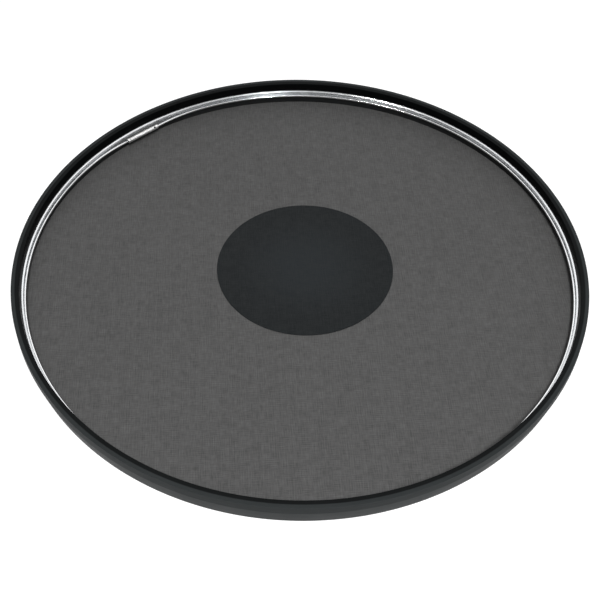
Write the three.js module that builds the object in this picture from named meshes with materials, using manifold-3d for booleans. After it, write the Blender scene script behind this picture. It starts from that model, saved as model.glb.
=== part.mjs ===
// Mesh practice pad for a 22 inch bass drum. Millimetres, +Z up.
// The origin is at the centre of the rim, on the plane that the rim rests on.
// An opening ring (band, rod and barrel) sits inside the rim and stretches the mesh by its hoop.

import * as THREE from 'three';
import { mergeVertices } from 'three/addons/utils/BufferGeometryUtils.js';
import Module from 'manifold-3d';

const wasm = await Module();
wasm.setup();

// Driving dimensions.
const RING_SEGMENTS = 96;
const FIT_GAP = 0.3;

const RIM_RADIUS = 303;
const RIM_HEIGHT = 29;
const RIM_WALL = 2;
const SHOULDER_RADIUS = 1;
const CREASE_HEIGHT = 19.4;
const FOOT_RADIUS = 298.8;
const FOOT_CHAMFER = 0.7;
const LAND_INNER_RADIUS = 294.7;
const LIP_RADIUS = 293.9;
const LIP_BOTTOM = 20;
const LIP_THICKNESS = 2.2;

const HOOP_INNER_RADIUS = 293.9;
const HOOP_OUTER_RADIUS = 296.6;
const HOOP_BOTTOM = 0.3;
const HOOP_TOP = LIP_BOTTOM - FIT_GAP;
const HOOP_SPLIT = 1.2;

const MESH_THICKNESS = 0.5;
const MESH_BOTTOM = 1.2;
const MESH_RADIUS = 295.3;
const GROOVE_RADIUS = MESH_RADIUS + FIT_GAP;

const PATCH_RADIUS = 95.5;
const PATCH_THICKNESS = 0.6;
const PATCH_OFFSET_X = 4.9;
const PATCH_OFFSET_Y = 12.8;

const BAND_INNER_RADIUS = 292.4;
const BAND_OUTER_RADIUS = HOOP_INNER_RADIUS - FIT_GAP;
const BAND_BOTTOM = 10.6;
const BAND_TOP = 19.4;
const FLANGE_INNER_RADIUS = 291.7;
const FLANGE_THICKNESS = 1;
const BAND_SPLIT = 0.8;
const BAND_SPLIT_AZIMUTH = 69;

const ROD_RADIUS = 1.3;
const ROD_RING_RADIUS = 290.8;
const ROD_HEIGHT = 13.4;
const ROD_SIDES = 10;
const ROD_STEPS = 160;

const BARREL_AZIMUTH = 131.6;
const BARREL_DISTANCE = 287.1;
const BARREL_LENGTH = 40;
const BARREL_RADIUS = 2.6;
const BARREL_CHAMFER = 0.4;
const BARREL_SEGMENTS = 36;
const BORE_RADIUS = ROD_RADIUS + FIT_GAP;
const SEAT_DEPTH = 2.6;
const WEB_LENGTH = 6.4;
const TOMMY_HOLE_RADIUS = 1.3;
const TOMMY_HOLE_INSET = 4.8;
const TOMMY_HOLE_TILT = 45;
const STRAIGHT_HALF_LENGTH = 28;
const LEFT_STUD_TIP = -2;

const NUT_ACROSS_FLATS = 5;
const NUT_LENGTH = 2.6;
const NUT_GAP = 0.4;

const radians = THREE.MathUtils.degToRad;

function solidFromGeometry(geometry) {
  const bare = geometry.index ? geometry.toNonIndexed() : geometry.clone();
  bare.deleteAttribute('normal');
  bare.deleteAttribute('uv');
  const merged = mergeVertices(bare, 1e-4);
  const corners = Array.from(merged.index.array);
  const triangles = [];
  for (let first = 0; first < corners.length; first += 3) {
    const [a, b, c] = corners.slice(first, first + 3);
    if (a !== b && b !== c && c !== a) {
      triangles.push(a, b, c);
    }
  }
  const mesh = new wasm.Mesh({
    numProp: 3,
    vertProperties: new Float32Array(merged.attributes.position.array),
    triVerts: new Uint32Array(triangles),
  });
  return new wasm.Manifold(mesh);
}

function geometryFromSolid(solid) {
  const mesh = solid.getMesh();
  const geometry = new THREE.BufferGeometry();
  geometry.setAttribute('position', new THREE.BufferAttribute(mesh.vertProperties, 3));
  geometry.setIndex(new THREE.BufferAttribute(mesh.triVerts, 1));
  geometry.computeVertexNormals();
  return geometry;
}

// Turns a profile of [radius, height] points about +Z. A profile that doesn't touch the axis is closed on itself.
function turned(profile, segments) {
  const points = profile.map(([radius, height]) => new THREE.Vector2(radius, height));
  if (profile[0][0] > 0) {
    points.push(points[0].clone());
  }
  return new THREE.LatheGeometry(points, segments).rotateX(Math.PI / 2);
}

// A quarter-circle corner of a profile, from one angle to another, in degrees.
function corner(centreRadius, centreHeight, radius, fromAngle, toAngle, steps = 3) {
  const points = [];
  for (let step = 0; step <= steps; step += 1) {
    const angle = radians(fromAngle + ((toAngle - fromAngle) * step) / steps);
    points.push([centreRadius + radius * Math.cos(angle), centreHeight + radius * Math.sin(angle)]);
  }
  return points;
}

// A box that cuts a slot of the given width through a ring at an azimuth.
function radialSlot(azimuth, width, innerRadius, outerRadius, height) {
  const length = outerRadius - innerRadius;
  const slot = new THREE.BoxGeometry(length, width, height);
  slot.translate(innerRadius + length / 2, 0, height / 2);
  slot.rotateZ(radians(azimuth));
  return solidFromGeometry(slot);
}

function splitRing(geometry, azimuth, width) {
  const slot = radialSlot(azimuth, width, FLANGE_INNER_RADIUS - 5, RIM_RADIUS, RIM_HEIGHT);
  return geometryFromSolid(solidFromGeometry(geometry).subtract(slot));
}

// The rim is a channel, open downwards: an outer wall that tapers in to the foot, a top land and an inner lip.
function rimGeometry() {
  const wallInner = RIM_RADIUS - RIM_WALL;
  const cavityTop = RIM_HEIGHT - LIP_THICKNESS;
  const cavityChamfer = 1.2;
  const landEdge = 0.4;
  const profile = [
    [FOOT_RADIUS - RIM_WALL, 0],
    [FOOT_RADIUS - FOOT_CHAMFER, 0],
    [FOOT_RADIUS, FOOT_CHAMFER],
    [RIM_RADIUS, CREASE_HEIGHT],
    ...corner(RIM_RADIUS - SHOULDER_RADIUS, RIM_HEIGHT - SHOULDER_RADIUS, SHOULDER_RADIUS, 0, 90, 5),
    ...corner(LAND_INNER_RADIUS + landEdge, RIM_HEIGHT - landEdge, landEdge, 90, 180, 2),
    [LIP_RADIUS, LIP_BOTTOM],
    [LIP_RADIUS + LIP_THICKNESS, LIP_BOTTOM],
    [LAND_INNER_RADIUS + LIP_THICKNESS, cavityTop],
    [wallInner - cavityChamfer, cavityTop],
    [wallInner, cavityTop - cavityChamfer],
    [wallInner, CREASE_HEIGHT],
  ];
  return turned(profile, RING_SEGMENTS);
}

// The hoop grips the edge of the mesh in a groove near its foot, and is split so that it can open.
function hoopGeometry() {
  const grooveBottom = MESH_BOTTOM - FIT_GAP;
  const grooveTop = MESH_BOTTOM + MESH_THICKNESS + FIT_GAP;
  const profile = [
    [HOOP_INNER_RADIUS, HOOP_BOTTOM],
    [HOOP_OUTER_RADIUS - 0.8, HOOP_BOTTOM],
    [HOOP_OUTER_RADIUS, HOOP_BOTTOM + 1.6],
    [HOOP_OUTER_RADIUS, HOOP_TOP - 5],
    [HOOP_OUTER_RADIUS - 1.4, HOOP_TOP],
    [HOOP_INNER_RADIUS, HOOP_TOP],
    [HOOP_INNER_RADIUS, grooveTop],
    [GROOVE_RADIUS, grooveTop],
    [GROOVE_RADIUS, grooveBottom],
    [HOOP_INNER_RADIUS, grooveBottom],
  ];
  return splitRing(turned(profile, RING_SEGMENTS), BARREL_AZIMUTH, HOOP_SPLIT);
}

function meshGeometry() {
  const top = MESH_BOTTOM + MESH_THICKNESS;
  return turned([[0, MESH_BOTTOM], [MESH_RADIUS, MESH_BOTTOM], [MESH_RADIUS, top], [0, top]], RING_SEGMENTS);
}

function patchGeometry() {
  const edge = 0.2;
  const profile = [
    [0, 0],
    [PATCH_RADIUS, 0],
    [PATCH_RADIUS, PATCH_THICKNESS - edge],
    [PATCH_RADIUS - edge, PATCH_THICKNESS],
    [0, PATCH_THICKNESS],
  ];
  return turned(profile, RING_SEGMENTS);
}

// An upright web with a flange turned inwards along its top.
function bandGeometry() {
  const lip = FLANGE_THICKNESS / 2;
  const profile = [
    [BAND_INNER_RADIUS, BAND_BOTTOM],
    [BAND_OUTER_RADIUS, BAND_BOTTOM],
    [BAND_OUTER_RADIUS, BAND_TOP],
    ...corner(FLANGE_INNER_RADIUS + lip, BAND_TOP - lip, lip, 90, 270, 4),
    [BAND_INNER_RADIUS, BAND_TOP - FLANGE_THICKNESS],
  ];
  return splitRing(turned(profile, RING_SEGMENTS), BAND_SPLIT_AZIMUTH, BAND_SPLIT);
}

// The rod's centre line: a round ring with a straight stretch at the barrel, joined by two tighter bends.
// It starts inside the barrel's threaded end, goes round by increasing azimuth and ends in the barrel's seat.
class RodPath extends THREE.Curve {
  constructor(startAlongBarrel, endAlongBarrel) {
    super();
    this.start = startAlongBarrel;
    this.end = endAlongBarrel;
    this.bend = 2 * Math.atan((ROD_RING_RADIUS - BARREL_DISTANCE) / STRAIGHT_HALF_LENGTH);
    this.bendCentre = STRAIGHT_HALF_LENGTH / Math.sin(this.bend);
    this.bendRadius = ROD_RING_RADIUS - this.bendCentre;
    this.straightOut = STRAIGHT_HALF_LENGTH - startAlongBarrel;
    this.bendLength = this.bendRadius * this.bend;
    this.ringLength = ROD_RING_RADIUS * (2 * Math.PI - 2 * this.bend);
    this.straightBack = STRAIGHT_HALF_LENGTH + endAlongBarrel;
  }

  // A point on an arc about a centre that lies in the direction of an azimuth, counted from the barrel's.
  arcPoint(centreAzimuth, centreDistance, radius, azimuth, target) {
    const x = centreDistance * Math.cos(centreAzimuth) + radius * Math.cos(azimuth);
    const y = centreDistance * Math.sin(centreAzimuth) + radius * Math.sin(azimuth);
    return target.set(x, y, 0);
  }

  getPoint(fraction, target = new THREE.Vector3()) {
    const total = this.straightOut + 2 * this.bendLength + this.ringLength + this.straightBack;
    let distance = fraction * total;
    if (distance <= this.straightOut) {
      return target.set(BARREL_DISTANCE, this.start + distance, 0);
    }
    distance -= this.straightOut;
    if (distance <= this.bendLength) {
      return this.arcPoint(this.bend, this.bendCentre, this.bendRadius, distance / this.bendRadius, target);
    }
    distance -= this.bendLength;
    if (distance <= this.ringLength) {
      return this.arcPoint(0, 0, ROD_RING_RADIUS, this.bend + distance / ROD_RING_RADIUS, target);
    }
    distance -= this.ringLength;
    if (distance <= this.bendLength) {
      const azimuth = -this.bend + distance / this.bendRadius;
      return this.arcPoint(-this.bend, this.bendCentre, this.bendRadius, azimuth, target);
    }
    distance -= this.bendLength;
    return target.set(BARREL_DISTANCE, -STRAIGHT_HALF_LENGTH + distance, 0);
  }
}

function rodGeometry() {
  const seatTip = -BARREL_LENGTH / 2 + SEAT_DEPTH - FIT_GAP;
  const section = new THREE.Shape().absarc(0, 0, ROD_RADIUS, 0, 2 * Math.PI);
  return new THREE.ExtrudeGeometry(section, {
    steps: ROD_STEPS,
    curveSegments: ROD_SIDES / 2,
    extrudePath: new RodPath(LEFT_STUD_TIP, seatTip),
  });
}

// The barrel is turned about its own axis: a threaded bore from the left end, a solid web with the tommy bar's
// cross hole, and a shallow seat at the right end for the rod's plain end.
function barrelGeometry() {
  const half = BARREL_LENGTH / 2;
  const seatBottom = -half + SEAT_DEPTH;
  const boreBottom = seatBottom + WEB_LENGTH;
  const profile = [
    [0, seatBottom],
    [BORE_RADIUS, seatBottom],
    [BORE_RADIUS, -half],
    [BARREL_RADIUS - BARREL_CHAMFER, -half],
    [BARREL_RADIUS, -half + BARREL_CHAMFER],
    [BARREL_RADIUS, half - BARREL_CHAMFER],
    [BARREL_RADIUS - BARREL_CHAMFER, half],
    [BORE_RADIUS, half],
    [BORE_RADIUS, boreBottom],
    [0, boreBottom],
  ];
  const points = profile.map(([radius, along]) => new THREE.Vector2(radius, along));
  const barrel = new THREE.LatheGeometry(points, BARREL_SEGMENTS);
  const hole = new THREE.CylinderGeometry(TOMMY_HOLE_RADIUS, TOMMY_HOLE_RADIUS, 4 * BARREL_RADIUS, 16);
  hole.rotateZ(Math.PI / 2);
  hole.rotateY(radians(TOMMY_HOLE_TILT));
  hole.translate(0, -half + TOMMY_HOLE_INSET, 0);
  return geometryFromSolid(solidFromGeometry(barrel).subtract(solidFromGeometry(hole)));
}

function nutGeometry() {
  const cornerRadius = NUT_ACROSS_FLATS / 2 / Math.cos(Math.PI / 6);
  const body = new THREE.CylinderGeometry(cornerRadius, cornerRadius, NUT_LENGTH, 6);
  const bore = new THREE.CylinderGeometry(BORE_RADIUS, BORE_RADIUS, 2 * NUT_LENGTH, 24);
  return geometryFromSolid(solidFromGeometry(body).subtract(solidFromGeometry(bore)));
}

const blackPlastic = { color: 0x14181a, roughness: 0.35, metalness: 0 };
const polishedSteel = { color: 0xc9cdd0, roughness: 0.15, metalness: 1 };

function piece(name, geometry, finish) {
  const mesh = new THREE.Mesh(geometry, new THREE.MeshStandardMaterial(finish));
  mesh.name = name;
  return mesh;
}

const pad = new THREE.Group();
pad.add(piece('rim', rimGeometry(), blackPlastic));
pad.add(piece('mesh_hoop', hoopGeometry(), { ...blackPlastic, roughness: 0.6 }));
pad.add(piece('playing_mesh', meshGeometry(), { color: 0x5a5a5c, roughness: 0.85, metalness: 0 }));
pad.add(piece('expansion_band', bandGeometry(), polishedSteel));

const patch = piece('impact_patch', patchGeometry(), { color: 0x22292b, roughness: 0.55, metalness: 0 });
patch.position.set(PATCH_OFFSET_X, PATCH_OFFSET_Y, MESH_BOTTOM + MESH_THICKNESS + FIT_GAP);
pad.add(patch);

// In this group, X points out through the middle of the barrel and Y runs along the barrel's axis.
const tensioner = new THREE.Group();
tensioner.rotation.z = radians(BARREL_AZIMUTH);
tensioner.position.z = ROD_HEIGHT;
tensioner.add(piece('tension_rod', rodGeometry(), polishedSteel));

const barrel = piece('tension_barrel', barrelGeometry(), { ...polishedSteel, roughness: 0.3 });
barrel.position.x = BARREL_DISTANCE;
tensioner.add(barrel);

const nut = piece('lock_nut', nutGeometry(), { ...polishedSteel, roughness: 0.25 });
nut.position.set(BARREL_DISTANCE, BARREL_LENGTH / 2 + NUT_GAP + NUT_LENGTH / 2, 0);
tensioner.add(nut);
pad.add(tensioner);

export default pad;
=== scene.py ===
"""The look of the mesh practice pad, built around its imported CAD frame. Metres, +Z up."""

import math

import bmesh
import bpy
from mathutils import Matrix, Vector


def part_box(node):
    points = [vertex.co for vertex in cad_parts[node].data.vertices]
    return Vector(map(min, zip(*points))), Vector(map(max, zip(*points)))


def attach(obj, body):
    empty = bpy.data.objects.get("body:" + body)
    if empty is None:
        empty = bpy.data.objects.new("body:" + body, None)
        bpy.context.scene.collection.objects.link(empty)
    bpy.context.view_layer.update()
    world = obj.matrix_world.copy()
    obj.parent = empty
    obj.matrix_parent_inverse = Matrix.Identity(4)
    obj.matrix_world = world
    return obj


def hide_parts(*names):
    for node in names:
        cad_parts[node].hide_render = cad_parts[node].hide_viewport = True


MM = 0.001
RING_COLUMNS = 720

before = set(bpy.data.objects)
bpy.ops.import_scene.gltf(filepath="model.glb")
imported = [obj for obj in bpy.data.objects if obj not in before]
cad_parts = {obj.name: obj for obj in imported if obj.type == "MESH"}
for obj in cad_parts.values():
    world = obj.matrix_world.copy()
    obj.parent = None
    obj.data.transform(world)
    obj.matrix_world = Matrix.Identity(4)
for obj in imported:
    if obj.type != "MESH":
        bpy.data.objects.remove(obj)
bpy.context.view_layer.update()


def radius_of(node):
    """The outer radius of a CAD node that is a ring or disc about the origin."""
    low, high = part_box(node)
    return max(high.x, -low.x)


def heights_of(node):
    low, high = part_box(node)
    return low.z, high.z


# Sizes that the pieces share. Positions come from the CAD; the thin sections repeat its dimensions.
RIM_RADIUS = radius_of("rim")
RIM_HEIGHT = heights_of("rim")[1]
RIM_WALL = 2.0 * MM
SHOULDER = 0.4 * MM
CREASE_HEIGHT = 19.4 * MM
FOOT_RADIUS = 298.8 * MM
LAND_INNER = 294.7 * MM
LAND_OUTER = 299 * MM
LIP_RADIUS = 293.9 * MM
LIP_BOTTOM = 20 * MM
LIP_THICKNESS = 2.2 * MM

HOOP_INNER = 293.9 * MM
HOOP_OUTER = 296.6 * MM
HOOP_SPLIT = 1.2 * MM
MESH_RADIUS = 295.3 * MM
GROOVE_RADIUS = 295.6 * MM

BAND_INNER = 292.4 * MM
BAND_OUTER = 293.6 * MM
FLANGE_INNER = 291.7 * MM
FLANGE_THICKNESS = 1.0 * MM
BAND_SPLIT = 0.8 * MM
BAND_SPLIT_AZIMUTH = 69
DENT_BALL_RADIUS = 2.2 * MM
DENT_DEPTH = 0.45 * MM
DENT_HEIGHT = 5.6 * MM
DENT_FIRST_ANGLE = 0.55
DENT_STEP_ANGLE = 0.5

ROD_RADIUS = 1.3 * MM
ROD_RING_RADIUS = 290.8 * MM
BARREL_AZIMUTH = 131.6
BARREL_DISTANCE = 287.1 * MM
BARREL_LENGTH = 40 * MM
BARREL_RADIUS = 2.6 * MM
BORE_RADIUS = 1.5 * MM
SEAT_DEPTH = 2.6 * MM
WEB_LENGTH = 6.4 * MM
TOMMY_HOLE_RADIUS = 1.3 * MM
TOMMY_HOLE_INSET = 4.8 * MM
TOMMY_HOLE_TILT = 45
KNURL_DEPTH = 0.13 * MM
KNURL_PITCH = 1.0 * MM
KNURL_INSET_RIGHT = 9.5 * MM
KNURL_INSET_LEFT = 3.2 * MM
KNURL_RUN_OUT = 0.8 * MM
STRAIGHT_HALF = 28 * MM
STUD_TIP = -2 * MM
THREAD_END = 27 * MM
THREAD_PITCH = 0.5 * MM
THREAD_DEPTH = 0.25 * MM
NUT_ACROSS_FLATS = 5 * MM
NUT_LENGTH = 2.6 * MM
NUT_GAP = 0.4 * MM


# ---------------------------------------------------------------- mesh making


def rounded(corners, steps=4):
    """Rounds each (radius, height, fillet) corner of a closed outline. Returns (radius, height) points."""
    points = []
    for index, (x, y, fillet) in enumerate(corners):
        here = Vector((x, y))
        before = Vector(corners[index - 1][:2]) - here
        after = Vector(corners[(index + 1) % len(corners)][:2]) - here
        if fillet <= 0:
            points.append((x, y))
            continue
        angle = before.angle(after)
        reach = fillet / math.tan(angle / 2)
        reach = min(reach, 0.45 * before.length, 0.45 * after.length)
        start = here + before.normalized() * reach
        end = here + after.normalized() * reach
        for step in range(steps + 1):
            t = step / steps
            p = start * (1 - t) ** 2 + here * 2 * t * (1 - t) + end * t**2
            points.append((p.x, p.y))
    return points


def object_from(bm, name, smooth_below=35):
    bmesh.ops.remove_doubles(bm, verts=bm.verts, dist=1e-7)
    bmesh.ops.recalc_face_normals(bm, faces=bm.faces)
    mesh = bpy.data.meshes.new(name)
    bm.to_mesh(mesh)
    bm.free()
    mesh.shade_smooth()
    mesh.set_sharp_from_angle(angle=math.radians(smooth_below))
    obj = bpy.data.objects.new(name, mesh)
    bpy.context.scene.collection.objects.link(obj)
    return obj


def join_rings(bm, rings, close_loop, cap_ends):
    """Skins a list of rings of vertices. close_loop joins the last ring to the first."""
    count = len(rings[0])
    pairs = list(zip(rings, rings[1:]))
    if close_loop:
        pairs.append((rings[-1], rings[0]))
    for here, there in pairs:
        for k in range(count):
            after = (k + 1) % count
            bm.faces.new((here[k], here[after], there[after], there[k]))
    if cap_ends:
        bm.faces.new(list(reversed(rings[0])))
        bm.faces.new(rings[-1])


def lathe(name, profile, columns=RING_COLUMNS, split=None):
    """Turns a closed outline about +Z. split, as (azimuth in degrees, width), leaves a parallel slot."""
    bm = bmesh.new()
    rings = []
    for column in range(columns + (1 if split else 0)):
        share = column / columns
        ring = []
        for radius, height in profile:
            angle = 2 * math.pi * share
            if split:
                half = math.asin(split[1] / 2 / radius)
                angle = math.radians(split[0]) + half + (2 * math.pi - 2 * half) * share
            ring.append(bm.verts.new((radius * math.cos(angle), radius * math.sin(angle), height)))
        rings.append(ring)
    join_rings(bm, rings, close_loop=not split, cap_ends=bool(split))
    return object_from(bm, name)


def subtract(target, cutters):
    """Cuts the cutter objects out of target, and removes them."""
    for cutter in cutters:
        modifier = target.modifiers.new("cut", "BOOLEAN")
        modifier.operation = "DIFFERENCE"
        modifier.solver = "EXACT"
        modifier.object = cutter
    bpy.context.view_layer.update()
    evaluated = target.evaluated_get(bpy.context.evaluated_depsgraph_get())
    mesh = bpy.data.meshes.new_from_object(evaluated)
    target.modifiers.clear()
    target.data = mesh
    mesh.shade_smooth()
    mesh.set_sharp_from_angle(angle=math.radians(35))
    for cutter in cutters:
        bpy.data.objects.remove(cutter)


def rod_cutter(name, radius, length, matrix, sides=32):
    bm = bmesh.new()
    bmesh.ops.create_cone(
        bm, cap_ends=True, segments=sides, radius1=radius, radius2=radius, depth=length, matrix=matrix
    )
    return object_from(bm, name)


# ---------------------------------------------------------------- the pieces


def make_rim():
    wall_inner = RIM_RADIUS - RIM_WALL
    cavity_top = RIM_HEIGHT - LIP_THICKNESS
    outline = [
        (FOOT_RADIUS - RIM_WALL, 0, 0.3 * MM),
        (FOOT_RADIUS, 0, 0.3 * MM),
        (RIM_RADIUS, CREASE_HEIGHT, 0.5 * MM),
    ]
    steps = 8
    for step in range(steps + 1):
        angle = math.pi / 2 * step / steps
        out = RIM_RADIUS - SHOULDER * (1 - math.cos(angle))
        up = RIM_HEIGHT - SHOULDER * (1 - math.sin(angle))
        outline.append((out, up, 0))
    outline += [
        (LAND_INNER, RIM_HEIGHT, 0.25 * MM),
        (LIP_RADIUS, LIP_BOTTOM, 0.35 * MM),
        (LIP_RADIUS + LIP_THICKNESS, LIP_BOTTOM, 0.3 * MM),
        (LAND_INNER + LIP_THICKNESS, cavity_top, 0.6 * MM),
        (wall_inner - 1.2 * MM, cavity_top, 0.4 * MM),
        (wall_inner, cavity_top - 1.2 * MM, 0.4 * MM),
        (wall_inner, CREASE_HEIGHT, 0.5 * MM),
    ]
    return lathe("rim_moulding", rounded(outline))


def make_hoop():
    bottom, top = heights_of("mesh_hoop")
    mesh_low, mesh_high = heights_of("playing_mesh")
    gap = GROOVE_RADIUS - MESH_RADIUS
    outline = [
        (HOOP_INNER, bottom, 0.3 * MM),
        (HOOP_OUTER - 0.8 * MM, bottom, 0.3 * MM),
        (HOOP_OUTER, bottom + 1.6 * MM, 0.5 * MM),
        (HOOP_OUTER, top - 5 * MM, 0.8 * MM),
        (HOOP_OUTER - 1.4 * MM, top, 0.4 * MM),
        (HOOP_INNER, top, 0.25 * MM),
        (HOOP_INNER, mesh_high + gap, 0.12 * MM),
        (GROOVE_RADIUS, mesh_high + gap, 0),
        (GROOVE_RADIUS, mesh_low - gap, 0),
        (HOOP_INNER, mesh_low - gap, 0.12 * MM),
    ]
    return lathe("split_mesh_hoop", rounded(outline), split=(BARREL_AZIMUTH, HOOP_SPLIT))


def disc(name, radius, bottom, top, edge, rings, columns):
    """A thin round sheet with its faces cut into rings, so that its mesh stays even."""
    outline = [(radius * k / rings, bottom) for k in range(rings)]
    corners = [(0, bottom, 0), (radius, bottom, edge * 0.3), (radius, top, edge), (0, top, 0)]
    outline += rounded(corners)[1:-1]
    outline += [(radius * k / rings, top) for k in range(rings - 1, -1, -1)]
    bm = bmesh.new()
    rings_of_verts = []
    for column in range(columns):
        angle = 2 * math.pi * column / columns
        rings_of_verts.append(
            [bm.verts.new((r * math.cos(angle), r * math.sin(angle), z)) for r, z in outline]
        )
    for here, there in zip(rings_of_verts, rings_of_verts[1:] + rings_of_verts[:1]):
        for k in range(len(outline) - 1):
            bm.faces.new((here[k], here[k + 1], there[k + 1], there[k]))
    return object_from(bm, name)


def make_playing_mesh():
    low, high = heights_of("playing_mesh")
    return disc("woven_head", MESH_RADIUS, low, high, 0.15 * MM, rings=24, columns=360)


def make_patch():
    low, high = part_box("impact_patch")
    radius = (high.x - low.x) / 2
    patch = disc("impact_film", radius, 0, high.z - low.z, 0.2 * MM, rings=16, columns=360)
    patch.location = ((low.x + high.x) / 2, (low.y + high.y) / 2, low.z)
    return patch


def make_band():
    """A strip with its top edge rolled in and down, and a row of round dents on each side of its split."""
    bottom, top = heights_of("expansion_band")
    under = top - FLANGE_THICKNESS
    outline = [
        (BAND_INNER, bottom, 0.3 * MM),
        (BAND_OUTER, bottom, 0.3 * MM),
        (BAND_OUTER, top, 0.25 * MM),
        (BAND_OUTER - 0.4 * MM, top, 0.4 * MM),
        (FLANGE_INNER, top - 0.85 * MM, 0.3 * MM),
        (FLANGE_INNER, under - 0.5 * MM, 0.2 * MM),
        (BAND_INNER, under - 0.9 * MM, 0.4 * MM),
    ]
    band = lathe("expansion_band_ring", rounded(outline, 6), split=(BAND_SPLIT_AZIMUTH, BAND_SPLIT))
    dents = []
    for side in (-1, 1):
        for place in range(3):
            turn = DENT_FIRST_ANGLE + DENT_STEP_ANGLE * place
            azimuth = math.radians(BAND_SPLIT_AZIMUTH + side * turn)
            bm = bmesh.new()
            bmesh.ops.create_uvsphere(bm, u_segments=24, v_segments=16, radius=DENT_BALL_RADIUS)
            dent = object_from(bm, f"dent_{side}_{place}")
            distance = BAND_INNER - DENT_BALL_RADIUS + DENT_DEPTH
            dent.location = (
                distance * math.cos(azimuth), distance * math.sin(azimuth), bottom + DENT_HEIGHT,
            )
            dents.append(dent)
    subtract(band, dents)
    return band


def rod_point(distance):
    """Centre line and outward direction of the rod, with X out through the barrel and Y along it."""
    bend = 2 * math.atan((ROD_RING_RADIUS - BARREL_DISTANCE) / STRAIGHT_HALF)
    bend_centre = STRAIGHT_HALF / math.sin(bend)
    bend_radius = ROD_RING_RADIUS - bend_centre
    bend_length = bend_radius * bend
    ring_length = ROD_RING_RADIUS * (2 * math.pi - 2 * bend)

    def on_arc(centre_azimuth, centre_distance, radius, azimuth):
        out = Vector((math.cos(azimuth), math.sin(azimuth), 0))
        centre = Vector((math.cos(centre_azimuth), math.sin(centre_azimuth), 0)) * centre_distance
        return centre + out * radius, out

    if distance <= STRAIGHT_HALF - STUD_TIP:
        return Vector((BARREL_DISTANCE, STUD_TIP + distance, 0)), Vector((1, 0, 0))
    distance -= STRAIGHT_HALF - STUD_TIP
    if distance <= bend_length:
        return on_arc(bend, bend_centre, bend_radius, distance / bend_radius)
    distance -= bend_length
    if distance <= ring_length:
        return on_arc(0, 0, ROD_RING_RADIUS, bend + distance / ROD_RING_RADIUS)
    distance -= ring_length
    if distance <= bend_length:
        return on_arc(-bend, bend_centre, bend_radius, -bend + distance / bend_radius)
    distance -= bend_length
    return Vector((BARREL_DISTANCE, distance - STRAIGHT_HALF, 0)), Vector((1, 0, 0))


def rod_length(seat_tip):
    bend = 2 * math.atan((ROD_RING_RADIUS - BARREL_DISTANCE) / STRAIGHT_HALF)
    bend_radius = ROD_RING_RADIUS - STRAIGHT_HALF / math.sin(bend)
    ring = ROD_RING_RADIUS * (2 * math.pi - 2 * bend)
    return STRAIGHT_HALF - STUD_TIP + 2 * bend_radius * bend + ring + STRAIGHT_HALF + seat_tip


def thread_cut(distance, angle):
    """How far the thread's flank lies below the rod's surface."""
    length = THREAD_END - STUD_TIP
    if distance >= length:
        return 0
    run_out = min(1, (length - distance) / (2 * THREAD_PITCH))
    phase = (distance / THREAD_PITCH - angle / (2 * math.pi)) % 1
    return THREAD_DEPTH * run_out * min(1, 1.25 * abs(2 * phase - 1))


def make_rod():
    """A round rod swept along rod_point, threaded at its first end, with both tips chamfered."""
    sides = 24
    tip = 0.5 * MM
    total = rod_length(-BARREL_LENGTH / 2 + SEAT_DEPTH - 0.3 * MM)
    threaded = THREAD_END - STUD_TIP
    stations = [0, tip]
    while stations[-1] < threaded:
        stations.append(stations[-1] + THREAD_PITCH / 8)
    count = 760
    first = stations[-1]
    stations += [first + (total - tip - first) * k / count for k in range(1, count + 1)] + [total]
    bm = bmesh.new()
    rings = []
    for distance in stations:
        centre, out = rod_point(distance)
        end = min(distance, total - distance)
        chamfer = max(0, tip - end) * 0.8
        ring = []
        for k in range(sides):
            angle = 2 * math.pi * k / sides
            radius = ROD_RADIUS - thread_cut(distance, angle) - chamfer
            spoke = math.cos(angle) * out + math.sin(angle) * Vector((0, 0, 1))
            ring.append(bm.verts.new(centre + radius * spoke))
        rings.append(ring)
    join_rings(bm, rings, close_loop=False, cap_ends=True)
    bm.transform(
        Matrix.Translation((0, 0, sum(heights_of("tension_rod")) / 2))
        @ Matrix.Rotation(math.radians(BARREL_AZIMUTH), 4, "Z")
    )
    return object_from(bm, "tension_rod_ring")


def along_barrel(offset):
    """The frame of a piece on the barrel's axis. Its local Z runs along it, towards greater azimuth."""
    azimuth = math.radians(BARREL_AZIMUTH)
    out = Vector((math.cos(azimuth), math.sin(azimuth), 0))
    along = Vector((-math.sin(azimuth), math.cos(azimuth), 0))
    up = Vector((0, 0, 1))
    centre = out * BARREL_DISTANCE + along * offset + up * sum(heights_of("tension_rod")) / 2
    turn = Matrix((out, -up, along)).transposed().to_4x4()
    return Matrix.Translation(centre) @ turn


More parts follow.
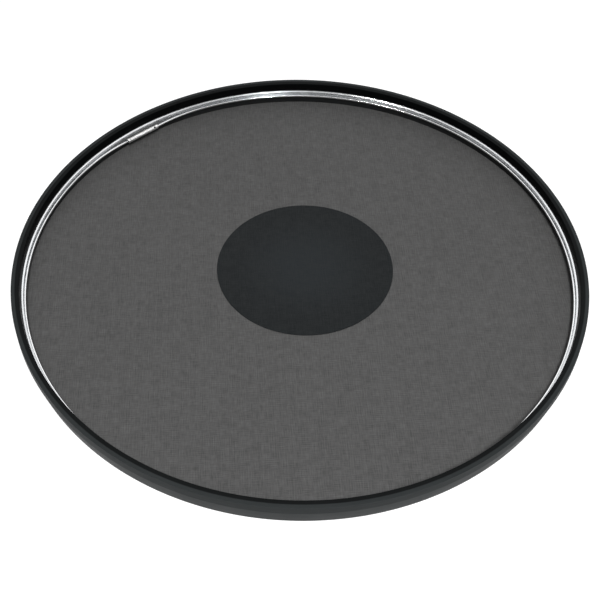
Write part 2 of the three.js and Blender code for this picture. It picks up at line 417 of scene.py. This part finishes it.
def make_barrel():
    """A knurled sleeve with a plain bore for the rod's thread, a solid web with the tommy bar's cross hole,
    and a seat.
    """
    half = BARREL_LENGTH / 2
    columns = 96
    starts = round(2 * math.pi * BARREL_RADIUS / KNURL_PITCH)
    knurl_from = -half + KNURL_INSET_RIGHT
    knurl_to = half - KNURL_INSET_LEFT
    seat_bottom = -half + SEAT_DEPTH
    bore_bottom = seat_bottom + WEB_LENGTH
    outer = [(BARREL_RADIUS - 0.5 * MM, -half), (BARREL_RADIUS, -half + 0.5 * MM)]
    steps = 230
    outer += [(BARREL_RADIUS, -half + 0.5 * MM + (2 * half - 1 * MM) * k / steps) for k in range(1, steps)]
    outer += [(BARREL_RADIUS, half - 0.5 * MM), (BARREL_RADIUS - 0.5 * MM, half)]
    bore = [
        (BORE_RADIUS + 0.35 * MM, half),
        (BORE_RADIUS, half - 0.4 * MM),
        (BORE_RADIUS, bore_bottom),
        (0.02 * MM, bore_bottom - 1.1 * MM),
    ]
    seat = [
        (0.02 * MM, seat_bottom),
        (BORE_RADIUS, seat_bottom),
        (BORE_RADIUS, -half + 0.3 * MM),
        (BORE_RADIUS + 0.2 * MM, -half),
    ]
    bm = bmesh.new()

    def column_of(points, angle, knurled):
        ring = []
        for radius, along in points:
            if knurled and knurl_from < along < knurl_to:
                lead = along / KNURL_PITCH
                turn = angle * starts / (2 * math.pi)
                one = abs(2 * ((lead + turn) % 1) - 1)
                other = abs(2 * ((lead - turn) % 1) - 1)
                edge = min(1, (along - knurl_from) / KNURL_RUN_OUT, (knurl_to - along) / KNURL_RUN_OUT)
                radius -= KNURL_DEPTH * edge * max(0, 1 - 1.6 * min(one, other))
            ring.append(bm.verts.new((radius * math.cos(angle), radius * math.sin(angle), along)))
        return ring

    outlines = []
    for k in range(columns):
        angle = 2 * math.pi * k / columns
        inside = column_of(seat, angle, False)
        outside = column_of(outer, angle, True)
        outlines.append(inside + outside + column_of(bore, angle, False))
    for here, there in zip(outlines, outlines[1:] + outlines[:1]):
        for k in range(len(here) - 1):
            bm.faces.new((here[k], here[k + 1], there[k + 1], there[k]))
    bm.faces.new([column[0] for column in reversed(outlines)])
    bm.faces.new([column[-1] for column in outlines])
    barrel = object_from(bm, "tension_barrel_sleeve", 28)
    hole = (
        Matrix.Translation((0, 0, -half + TOMMY_HOLE_INSET))
        @ Matrix.Rotation(math.radians(TOMMY_HOLE_TILT), 4, "Z")
        @ Matrix.Rotation(math.pi / 2, 4, "Y")
    )
    subtract(barrel, [rod_cutter("tommy_hole", TOMMY_HOLE_RADIUS, 4 * BARREL_RADIUS, hole)])
    barrel.matrix_world = along_barrel(0)
    return barrel


def make_nut():
    """A hexagon whose corners are turned down to a cone at both ends, with a chamfered bore."""
    half = NUT_LENGTH / 2
    flat = NUT_ACROSS_FLATS / 2
    columns = 96
    bm = bmesh.new()
    rings = []
    for k in range(columns):
        angle = 2 * math.pi * k / columns
        from_flat = (angle + math.pi / 6) % (math.pi / 3) - math.pi / 6
        edge = flat / math.cos(from_flat)
        face = flat - 0.08 * MM
        drop = (edge - face) * math.tan(math.radians(30))
        outline = [
            (BORE_RADIUS, half - 0.3 * MM),
            (BORE_RADIUS + 0.3 * MM, half),
            (face, half),
            (edge, half - drop),
            (edge, -half + drop),
            (face, -half),
            (BORE_RADIUS + 0.3 * MM, -half),
            (BORE_RADIUS, -half + 0.3 * MM),
        ]
        rings.append([bm.verts.new((r * math.cos(angle), r * math.sin(angle), z)) for r, z in outline])
    join_rings(bm, rings, close_loop=True, cap_ends=False)
    nut = object_from(bm, "lock_nut_hex", 25)
    low = BARREL_LENGTH / 2 + NUT_GAP
    nut.matrix_world = along_barrel(low + half)
    return nut


# ---------------------------------------------------------------- materials


class Graph:
    """A small writer of material node trees."""

    def __init__(self, name):
        self.material = bpy.data.materials.new(name)
        self.material.use_nodes = True
        self.tree = self.material.node_tree
        self.tree.nodes.clear()

    def node(self, kind, inputs=None, **settings):
        made = self.tree.nodes.new(kind)
        for key, value in settings.items():
            setattr(made, key, value)
        for key, value in (inputs or {}).items():
            socket = made.inputs[key]
            if isinstance(value, bpy.types.NodeSocket):
                self.tree.links.new(value, socket)
            else:
                socket.default_value = value
        return made

    def math(self, operation, *values, clamp=False):
        inputs = dict(enumerate(values))
        return self.node("ShaderNodeMath", inputs, operation=operation, use_clamp=clamp).outputs[0]

    def place(self, scale=(1, 1, 1), turn=0.0, move=(0, 0, 0)):
        """Object coordinates in metres, turned about Z by degrees and scaled."""
        source = self.node("ShaderNodeTexCoord").outputs["Object"]
        turned = self.node(
            "ShaderNodeMapping", {"Vector": source, "Rotation": (0, 0, math.radians(turn)), "Location": move}
        )
        return self.node("ShaderNodeMapping", {"Vector": turned.outputs[0], "Scale": scale}).outputs[0]

    def noise(self, vector, scale=1.0, detail=2.0, roughness=0.5, kind="3D"):
        inputs = {"Vector": vector, "Scale": scale, "Detail": detail, "Roughness": roughness}
        return self.node("ShaderNodeTexNoise", inputs, noise_dimensions=kind).outputs["Fac"]

    def spread(self, value, low, high, to_low=0.0, to_high=1.0):
        inputs = {"Value": value, "From Min": low, "From Max": high, "To Min": to_low, "To Max": to_high}
        return self.node("ShaderNodeMapRange", inputs).outputs[0]

    def blend(self, share, one, other):
        inputs = {0: share, 6: one, 7: other}
        return self.node("ShaderNodeMix", inputs, data_type="RGBA").outputs[2]

    def bump(self, height, distance, strength=1.0, normal=None):
        inputs = {"Height": height, "Distance": distance, "Strength": strength}
        if normal is not None:
            inputs["Normal"] = normal
        return self.node("ShaderNodeBump", inputs).outputs[0]

    def finish(self, **inputs):
        named = {key.replace("_", " "): value for key, value in inputs.items()}
        shader = self.node("ShaderNodeBsdfPrincipled", named)
        self.node("ShaderNodeOutputMaterial", {"Surface": shader.outputs[0]})
        return self.material


def grey(value, tint=(1, 1, 1)):
    return (value * tint[0], value * tint[1], value * tint[2], 1)


COOL = (0.9, 1.02, 1.05)


def rim_plastic():
    """A matt charcoal body whose top turns to smooth black inside the line at LAND_OUTER."""
    g = Graph("rim_plastic")
    at = g.node("ShaderNodeTexCoord").outputs["Object"]
    height = g.node("ShaderNodeSeparateXYZ", {0: at}).outputs[2]
    flat = g.node("ShaderNodeVectorMath", {0: at, 1: (1, 1, 0)}, operation="MULTIPLY").outputs[0]
    radius = g.node("ShaderNodeVectorMath", {0: flat}, operation="LENGTH").outputs["Value"]
    fine = g.noise(g.place((1, 1, 1)), 2600, 2)
    broad = g.noise(g.place((1, 1, 1)), 22, 3, 0.6)
    scuffs = g.noise(g.place((40, 40, 900)), 1, 3, 0.7)
    outside = g.spread(radius, LAND_OUTER - 0.4 * MM, LAND_OUTER + 0.5 * MM)
    below_top = g.spread(height, RIM_HEIGHT - 0.5 * MM, RIM_HEIGHT - 1.2 * MM)
    skirt = g.spread(height, CREASE_HEIGHT + 0.2 * MM, CREASE_HEIGHT - 0.6 * MM)
    body = g.math("MAXIMUM", outside, skirt)
    black = g.blend(g.spread(broad, 0.3, 0.7), grey(0.006, COOL), grey(0.009, COOL))
    # Below the flat top, the black lip is painted darker than the same plastic on top: painted shade.
    black = g.blend(g.spread(height, RIM_HEIGHT - 0.3 * MM, RIM_HEIGHT - 1 * MM), black, grey(0.003, COOL))
    top = g.blend(g.spread(broad, 0.3, 0.7), grey(0.024, COOL), grey(0.033, COOL))
    wall = g.blend(g.spread(scuffs, 0.35, 0.75), grey(0.021, COOL), grey(0.031, COOL))
    colour = g.blend(body, black, g.blend(below_top, top, wall))
    rough = g.spread(body, 0.0, 1.0, 0.3, 0.5)
    rough = g.math("ADD", rough, g.spread(broad, 0.3, 0.7, -0.04, 0.04))
    level = g.spread(body, 0.0, 1.0, 0.04, 0.1)
    level = g.math("MULTIPLY", level, g.spread(skirt, 0.0, 1.0, 1.0, 0.85))
    normal = g.bump(fine, 0.00004, 0.35)
    normal = g.bump(scuffs, 0.00005, 0.25, normal)
    return g.finish(Base_Color=colour, Roughness=rough, Normal=normal, IOR=1.4, Specular_IOR_Level=level)


def hoop_plastic():
    g = Graph("hoop_plastic")
    fine = g.noise(g.place((1, 1, 1)), 1800, 3)
    broad = g.noise(g.place((1, 1, 1)), 30, 3, 0.6)
    colour = g.blend(g.spread(broad, 0.3, 0.7), grey(0.005, COOL), grey(0.010, COOL))
    rough = g.spread(fine, 0.3, 0.7, 0.5, 0.62)
    return g.finish(Base_Color=colour, Roughness=rough, Normal=g.bump(fine, 0.00005, 0.5), IOR=1.49)


WEAVE_TURN = -4.5
THREAD_SPACING = 0.8 * MM
REED_SPACING = 2.3 * MM


def weave(g, streak=1.0):
    """Height of a plain weave, and the share of light that its two sets of uneven threads give back."""
    at = g.place((1, 1, 1), WEAVE_TURN)
    parts = g.node("ShaderNodeSeparateXYZ", {0: at})
    across = [
        g.math("SINE", g.math("MULTIPLY", parts.outputs[k], math.pi / THREAD_SPACING)) for k in (0, 1)
    ]
    crowns = [g.math("ABSOLUTE", value) for value in across]
    crossing = g.math("MULTIPLY", across[0], across[1])
    height = g.math("ADD", g.math("MAXIMUM", crowns[0], crowns[1]), g.math("MULTIPLY", crossing, 0.3))
    tones = []
    for k, (sx, sy) in enumerate(((950, 105), (105, 950))):
        short = g.noise(g.place((sx, sy, 1), WEAVE_TURN, (3.1 * k, 1.7, 0)), 1, 1.0, 0.5, "2D")
        long = g.noise(g.place((sx * 0.6, sy * 0.1, 1), WEAVE_TURN, (1.3, 2.9 * k, 0)), 1, 1.0, 0.5, "2D")
        where = g.noise(g.place((70, 70, 1), WEAVE_TURN, (5.3 * k, 0.7, 0)), 1, 1.0, 0.5, "2D")
        pairs = g.math("SINE", g.math("MULTIPLY", parts.outputs[k], 2 * math.pi / REED_SPACING))
        pairs = g.math("MULTIPLY", pairs, g.spread(where, 0.46, 0.62, 0.0, 0.5))
        near = g.spread(short, 0.32, 0.68, -0.6, 0.6)
        tone = g.math("ADD", near, g.spread(long, 0.35, 0.65, -0.25, 0.25))
        tones.append(g.math("ADD", tone, pairs))
    both = g.math("ADD", tones[0], tones[1])
    share = g.math("ADD", g.math("MULTIPLY", both, 0.17 * streak), 0.5, clamp=True)
    return height, share


def woven_mesh():
    g = Graph("woven_mesh")
    height, share = weave(g)
    broad = g.noise(g.place((1, 1, 1)), 7, 3, 0.6)
    tone = g.math("ADD", share, g.spread(broad, 0.3, 0.7, -0.03, 0.03))
    # Colour follows the weave's height: painted light on the thread crowns and painted shade in the low
    # places between them.
    tone = g.math("ADD", tone, g.spread(height, 0.2, 1.1, -0.12, 0.06))
    colour = g.blend(tone, grey(0.038, (1.0, 0.985, 0.975)), grey(0.112, (1.0, 0.995, 0.99)))
    cells = g.node(
        "ShaderNodeTexVoronoi", {"Vector": g.place((9, 9, 0.01)), "Scale": 1.0, "Randomness": 1.0}
    )
    chance = g.node("ShaderNodeSeparateColor", {0: cells.outputs["Color"]}).outputs[0]
    lone = g.math("GREATER_THAN", chance, 0.62)
    speck = g.math("MULTIPLY", lone, g.spread(cells.outputs["Distance"], 0.016, 0.006))
    colour = g.blend(speck, colour, grey(0.012))
    normal = g.bump(height, 0.00012, 0.6)
    rough = g.spread(share, 0.3, 0.7, 0.78, 0.66)
    return g.finish(
        Base_Color=colour, Roughness=rough, Normal=normal, Specular_IOR_Level=0.3, Sheen_Weight=0.05,
        Sheen_Roughness=0.5,
    )


def patch_film():
    g = Graph("patch_film")
    height, share = weave(g, 0.8)
    at = g.node("ShaderNodeTexCoord").outputs["Object"]
    flat = g.node("ShaderNodeVectorMath", {0: at, 1: (1, 1, 0)}, operation="MULTIPLY").outputs[0]
    radius = g.node("ShaderNodeVectorMath", {0: flat}, operation="LENGTH").outputs["Value"]
    # The film is painted lighter towards its centre, broken up by smudges: a painted sheen. The same mask
    # makes the centre a little smoother.
    centre_sheen = g.node("ShaderNodeMapRange", {"Value": radius, "From Min": 0.088, "From Max": 0.012},
                  interpolation_type="SMOOTHSTEP").outputs[0]
    smudge = g.noise(g.place((1, 1, 1)), 28, 4, 0.6)
    centre_sheen = g.math("ADD", centre_sheen, g.spread(smudge, 0.3, 0.7, -0.08, 0.08), clamp=True)
    colour = g.blend(centre_sheen, grey(0.0055, (0.75, 1.03, 1.22)), grey(0.0128, (0.76, 1.02, 1.22)))
    colour = g.blend(g.spread(share, 0.3, 0.7, 0, 0.6), colour, grey(0.021, (0.9, 1.02, 1.05)))
    rough = g.math("ADD", g.math("MULTIPLY", centre_sheen, -0.06), 0.56)
    normal = g.bump(height, 0.00005, 0.4)
    normal = g.bump(smudge, 0.0002, 0.15, normal)
    return g.finish(Base_Color=colour, Roughness=rough, Normal=normal, Specular_IOR_Level=0.12)


def polished_steel():
    """Strip that was rolled and buffed along its length, so that it smears reflections up and down."""
    g = Graph("polished_steel")
    lines = g.noise(g.place((6, 6, 5200)), 1, 3, 0.6)
    patchy = g.noise(g.place((1, 1, 1)), 14, 3, 0.6)
    colour = g.blend(g.spread(lines, 0.3, 0.7), grey(0.72, (0.98, 1, 1.02)), grey(0.84, (0.98, 1, 1.02)))
    rough = g.math("ADD", g.spread(lines, 0.3, 0.7, 0.24, 0.3), g.spread(patchy, 0.3, 0.7, -0.03, 0.03))
    tangent = g.node("ShaderNodeTangent", direction_type="RADIAL", axis="Z").outputs[0]
    return g.finish(
        Base_Color=colour, Metallic=1.0, Roughness=rough, Normal=g.bump(lines, 0.00001, 0.3),
        Tangent=tangent, Anisotropic=0.95, Anisotropic_Rotation=0.25,
    )


def bright_rod():
    g = Graph("bright_rod")
    drawn = g.noise(g.place((900, 900, 900)), 1, 2, 0.6)
    spots = g.noise(g.place((1, 1, 1)), 160, 4, 0.65)
    colour = g.blend(g.spread(spots, 0.35, 0.75), grey(0.86, (0.99, 1, 1.01)), grey(0.7, (0.99, 1, 1.01)))
    rough = g.math("ADD", g.spread(spots, 0.3, 0.7, 0.1, 0.16), g.spread(drawn, 0.3, 0.7, 0, 0.03))
    return g.finish(Base_Color=colour, Metallic=1.0, Roughness=rough, Normal=g.bump(drawn, 0.00001, 0.3))


def knurled_steel():
    g = Graph("knurled_steel")
    turning = g.noise(g.place((60, 60, 5200)), 1, 3, 0.6)
    grime = g.noise(g.place((1, 1, 1)), 700, 3, 0.6)
    colour = g.blend(g.spread(grime, 0.35, 0.75), grey(0.9, (1, 1, 0.99)), grey(0.74, (1, 0.99, 0.97)))
    rough = g.spread(turning, 0.3, 0.7, 0.34, 0.44)
    return g.finish(Base_Color=colour, Metallic=1.0, Roughness=rough, Normal=g.bump(turning, 0.00001, 0.4))


# ---------------------------------------------------------------- assembly

PIECES = [
    (make_rim, rim_plastic, "rim_plastic", "rim", "pad"),
    (make_hoop, hoop_plastic, "hoop_plastic", "mesh_hoop", "pad"),
    (make_playing_mesh, woven_mesh, "woven_mesh", "playing_mesh", "pad"),
    (make_patch, patch_film, "patch_film", "impact_patch", "pad"),
    (make_band, polished_steel, "polished_steel", "expansion_band", "pad"),
    (make_rod, bright_rod, "bright_rod", "tension_rod", "pad"),
    (make_barrel, knurled_steel, "knurled_steel", "tension_barrel", "barrel"),
    (make_nut, knurled_steel, "knurled_steel", "lock_nut", "nut"),
]

finishes = {}
for make, finish, slot, node, body in PIECES:
    piece = make()
    if slot not in finishes:
        finishes[slot] = finish()
    piece.data.materials.clear()
    piece.data.materials.append(finishes[slot])
    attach(piece, body)
    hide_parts(node)


# ---------------------------------------------------------------- studio

FLOOR_HALF_SIZE = 100
CAMERA_ELEVATION = 46.9
CAMERA_DISTANCE = 4 * RIM_RADIUS
CAMERA_OFFSET = 0.2 * MM
CAMERA_DIP = 2.065
CAMERA_ROLL = 1.22
CAMERA_LENS = 68.5
DIFFUSE_ONLY = "diffuse only"
GLOSS_ONLY = "gloss only"

# Name, position, target, width and height in metres, watts, colour, and what the light acts on.
LIGHTS = [
    ("key", (0.2, -1.8, 2.88), (0, 0, 0), (0.6, 0.6), 104, (1, 1, 1), DIFFUSE_ONLY),
    ("screen", (0, 1.36, 1.72), (0, 0, 0), (3.8, 2.7), 44, (1, 1, 1), GLOSS_ONLY),
    ("overhead", (0, 0, 1.5), (0, 0, 0), (2.4, 0.5), 2.3, (1, 1, 1), GLOSS_ONLY),
    ("front", (0, -1.9, 0.95), (0, 0, 0), (1.6, 0.9), 1.2, (1, 1, 1), GLOSS_ONLY),
    ("side", (1.1, -0.2, 0.75), (-0.19, 0.21, 0), (1.0, 0.9), 2.8, (1, 1, 1), GLOSS_ONLY),
    ("lamp_left", (-0.4, -0.2, 1.5), (0, 0, 0), (0.1, 0.1), 7, (1, 0.97, 0.95), GLOSS_ONLY),
    ("lamp_right", (0.3, -0.9, 1.2), (0, 0, 0), (0.1, 0.1), 13.5, (0.95, 0.99, 1), GLOSS_ONLY),
    ("strip_left", (-0.78, -1.07, 1.0), (0.09, 0.27, 0), (0.3, 1.6), 0.45, (1, 1, 1), None),
    ("strip_right", (0.4, -1.26, 1.0), (-0.05, 0.28, 0), (0.3, 1.6), 0.9, (1, 1, 1), None),
]


def make_floor():
    """A floor that glows nearly white, so that the pad throws only a faint shadow on it."""
    bm = bmesh.new()
    bmesh.ops.create_grid(bm, x_segments=2, y_segments=2, size=FLOOR_HALF_SIZE)
    floor = object_from(bm, "floor")
    g = Graph("floor")
    tone = g.noise(g.place((1, 1, 1)), 3, 2)
    g.finish(
        Base_Color=g.blend(tone, grey(0.3), grey(0.32)), Roughness=0.9, Specular_IOR_Level=0.0,
        Emission_Color=(1, 1, 1, 1), Emission_Strength=0.86,
    )
    floor.data.materials.append(g.material)


def make_light(name, position, target, size, watts, colour, acts_on):
    data = bpy.data.lights.new(name, "AREA")
    data.shape = "RECTANGLE"
    data.size, data.size_y = size
    data.energy = watts
    data.color = colour
    light = bpy.data.objects.new(name, data)
    light.location = position
    light.rotation_euler = (Vector(target) - Vector(position)).to_track_quat("-Z", "Y").to_euler()
    light.visible_diffuse = acts_on != GLOSS_ONLY
    light.visible_glossy = acts_on != DIFFUSE_ONLY
    bpy.context.scene.collection.objects.link(light)


def make_world():
    """A dim room, a little lighter overhead."""
    world = bpy.data.worlds.new("studio")
    world.use_nodes = True
    tree = world.node_tree
    tree.nodes.clear()
    coordinates = tree.nodes.new("ShaderNodeTexCoord")
    parts = tree.nodes.new("ShaderNodeSeparateXYZ")
    ramp = tree.nodes.new("ShaderNodeMapRange")
    background = tree.nodes.new("ShaderNodeBackground")
    output = tree.nodes.new("ShaderNodeOutputWorld")
    tree.links.new(coordinates.outputs["Generated"], parts.inputs[0])
    tree.links.new(parts.outputs[2], ramp.inputs["Value"])
    ramp.inputs["From Min"].default_value = 0.4
    ramp.inputs["From Max"].default_value = 0.95
    ramp.inputs["To Min"].default_value = 0.13
    ramp.inputs["To Max"].default_value = 0.17
    tree.links.new(ramp.outputs[0], background.inputs["Strength"])
    tree.links.new(background.outputs[0], output.inputs[0])
    bpy.context.scene.world = world


def make_camera():
    """Looks along +Y from 1.2 m, 46.9 degrees up, aimed a little below the centre of the rim's top."""
    data = bpy.data.cameras.new("camera")
    data.sensor_width = 36
    data.lens = CAMERA_LENS
    camera = bpy.data.objects.new("camera", data)
    elevation = math.radians(CAMERA_ELEVATION)
    position = Vector((0, -math.cos(elevation), math.sin(elevation))) * CAMERA_DISTANCE
    position += Vector((CAMERA_OFFSET, 0, RIM_HEIGHT))
    camera.matrix_world = (
        Matrix.Translation(position)
        @ Matrix.Rotation(math.pi / 2 - elevation - math.radians(CAMERA_DIP), 4, "X")
        @ Matrix.Rotation(math.radians(CAMERA_ROLL), 4, "Z")
    )
    bpy.context.scene.collection.objects.link(camera)
    bpy.context.scene.camera = camera


make_floor()
for light in LIGHTS:
    make_light(*light)
make_world()
make_camera()
bpy.context.scene.view_settings.view_transform = "Standard"
